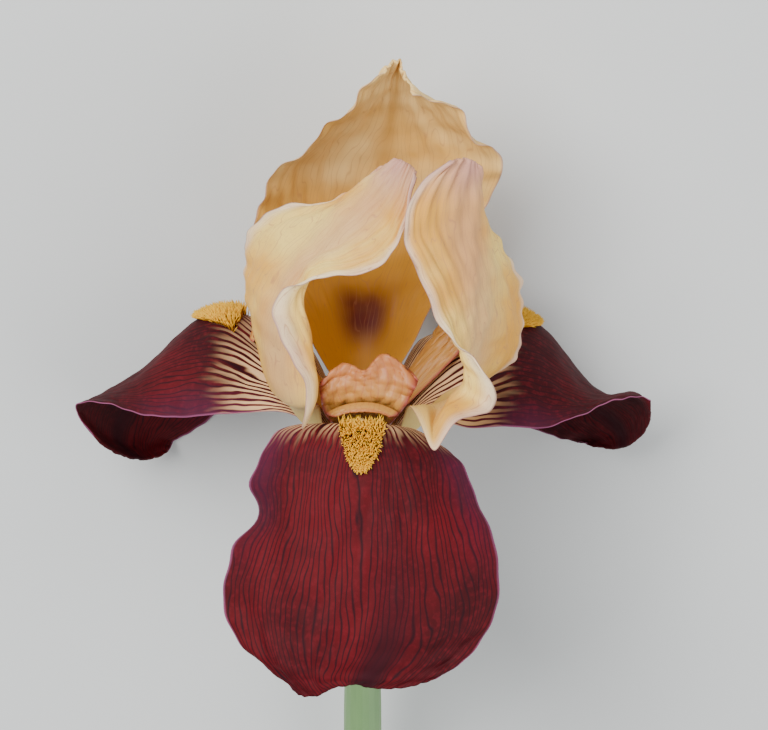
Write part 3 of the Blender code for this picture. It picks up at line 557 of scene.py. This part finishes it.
# ---- the flower's parts ----------------------------------------------------------------------------
def dress_falls():
    falls = (("front", with_bite(FALL_FRONT), FALL_FRONT, 1, BEARD_START, 0.45),
             ("left", FALL_LEFT, FALL_LEFT, -1, BEARD_START_REAR, 0.2),
             ("right", FALL_RIGHT, FALL_RIGHT, 1, BEARD_START_REAR, 0.2))
    for seed, (place, shaped, ribs, side, start, ruffle) in enumerate(falls):
        fine_sheet("fall_" + place, shaped, FALL_GRID, FALL_THIN, "fall", ruffle, 6.0, 1.0 + seed)
        beard_hairs("beard_" + place, ribs, side, start, seed)


def dress_standards():
    standards = (("left", STANDARD_LEFT), ("right", STANDARD_RIGHT), ("back", STANDARD_BACK))
    for seed, (place, ribs) in enumerate(standards):
        name = "standard_" + place
        sheet = fine_sheet(name, ribs, STANDARD_GRID, STANDARD_THIN, "standard", 0.6, 7.0, 2.0 + seed)
        if place == "back":
            sheet.data.materials[0] = back_standard_look()


def dress_styles():
    arms = (("front", 0.0, 1.0), ("left", -120.0, SIDE_ARM), ("right", 120.0, SIDE_ARM))
    for place, azimuth, width in arms:
        arm = turned_ribs(STYLE_ARM, azimuth, width)
        lip = turned_ribs(STIGMA_LIP, azimuth, width)
        fine_sheet("style_arm_" + place, arm, ARM_GRID, ARM_THIN, "style", 0.55, 5.0)
        fine_sheet("stigma_lip_" + place, lip, LIP_GRID, LIP_THIN, "lip", 0.15, 3.0)


def colour_kept_nodes(nodes):
    """Gives the CAD nodes that stay their fine materials."""
    for node, item in nodes.items():
        for slot in ("tube", "ovary", "stem", "spathe", "filament", "anther"):
            if slot in node:
                item.data.materials.clear()
                item.data.materials.append(LOOKS[slot])
    column = nodes["style_column"].data.materials
    column.clear()
    column.append(mottled_look("column_fine", (0.6, 0.4, 0.2), (0.5, 0.3, 0.12), 90.0, (1, 1, 1), 0.5))


# ---- the room --------------------------------------------------------------------------------------
def area_light(name, at, aim, size, power):
    lamp = bpy.data.lights.new(name, "AREA")
    lamp.size = size
    lamp.energy = power
    item = bpy.data.objects.new(name, lamp)
    item.location = at
    item.rotation_euler = (Vector(aim) - Vector(at)).to_track_quat("-Z", "Y").to_euler()
    bpy.context.scene.collection.objects.link(item)


def room():
    mesh = bpy.data.meshes.new("floor")
    mesh.from_pydata([(-3, -3, 0), (3, -3, 0), (3, 3, 0), (-3, 3, 0)], [], [(0, 1, 2, 3)])
    floor = bpy.data.objects.new("floor", mesh)
    bpy.context.scene.collection.objects.link(floor)
    pale = bpy.data.materials.new("floor")
    pale.use_nodes = True
    pale.node_tree.nodes["Principled BSDF"].inputs["Base Color"].default_value = (0.62, 0.63, 0.62, 1)
    pale.node_tree.nodes["Principled BSDF"].inputs["Roughness"].default_value = 0.9
    floor.data.materials.append(pale)
    world = bpy.data.worlds.new("room")
    bpy.context.scene.world = world
    world.use_nodes = True
    world.node_tree.nodes["Background"].inputs[0].default_value = (0.9, 0.95, 1.0, 1)
    world.node_tree.nodes["Background"].inputs[1].default_value = 0.55
    area_light("key", (-0.45, 0.55, 0.9), (0, 0, 0.04), 0.7, 19.0)
    area_light("fill", (0.7, -0.2, 0.7), (0, 0, 0.04), 0.9, 7.0)


def camera():
    """Looks straight into the flower's face."""
    at, up_at, aim = face_to_row(((AIM_X, AIM_Y, FAR), (AIM_X, AIM_Y + 10, FAR), (AIM_X, AIM_Y, 0)))
    back = Vector(at - aim).normalized()
    up = Vector(up_at - at).normalized()
    right = up.cross(back)
    lens = bpy.data.cameras.new("camera")
    lens.lens = LENS
    lens.sensor_width = 36.0
    item = bpy.data.objects.new("camera", lens)
    turn = Matrix((right, up, back)).transposed().to_4x4()
    item.matrix_world = Matrix.Translation(Vector(at)) @ turn
    bpy.context.scene.collection.objects.link(item)
    bpy.context.scene.camera = item


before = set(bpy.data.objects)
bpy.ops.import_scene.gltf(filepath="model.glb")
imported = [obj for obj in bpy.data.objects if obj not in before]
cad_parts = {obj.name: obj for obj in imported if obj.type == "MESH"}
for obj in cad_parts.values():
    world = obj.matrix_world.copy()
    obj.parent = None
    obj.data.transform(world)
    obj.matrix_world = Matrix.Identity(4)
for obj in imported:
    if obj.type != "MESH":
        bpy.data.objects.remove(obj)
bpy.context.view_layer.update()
LOOKS = {
    "fall": fall_look(),
    "standard": standard_look(),
    "style": style_look(),
    "lip": style_look(),
    "beard": beard_look(),
    "tube": mottled_look("tube_fine", (0.42, 0.44, 0.16), (0.3, 0.22, 0.16), 60.0, (1, 0.2, 1), 0.5),
    "ovary": mottled_look("ovary_fine", (0.2, 0.32, 0.1), (0.1, 0.2, 0.06), 90.0, (1, 0.2, 1), 0.45),
    "stem": mottled_look("stem_fine", (0.2, 0.34, 0.13), (0.12, 0.24, 0.09), 90.0, (1, 0.1, 1), 0.45),
    "spathe": mottled_look("spathe_fine", (0.3, 0.33, 0.2), (0.12, 0.07, 0.16), 50.0, (1, 0.2, 1), 0.6),
    "filament": mottled_look("filament_fine", (0.6, 0.55, 0.66), (0.5, 0.44, 0.58), 90.0, (1, 1, 1), 0.5),
    "anther": mottled_look("anther_fine", (0.84, 0.76, 0.5), (0.7, 0.58, 0.3), 300.0, (1, 1, 1), 0.8),
}
dress_falls()
dress_standards()
dress_styles()
colour_kept_nodes(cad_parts)
room()
camera()
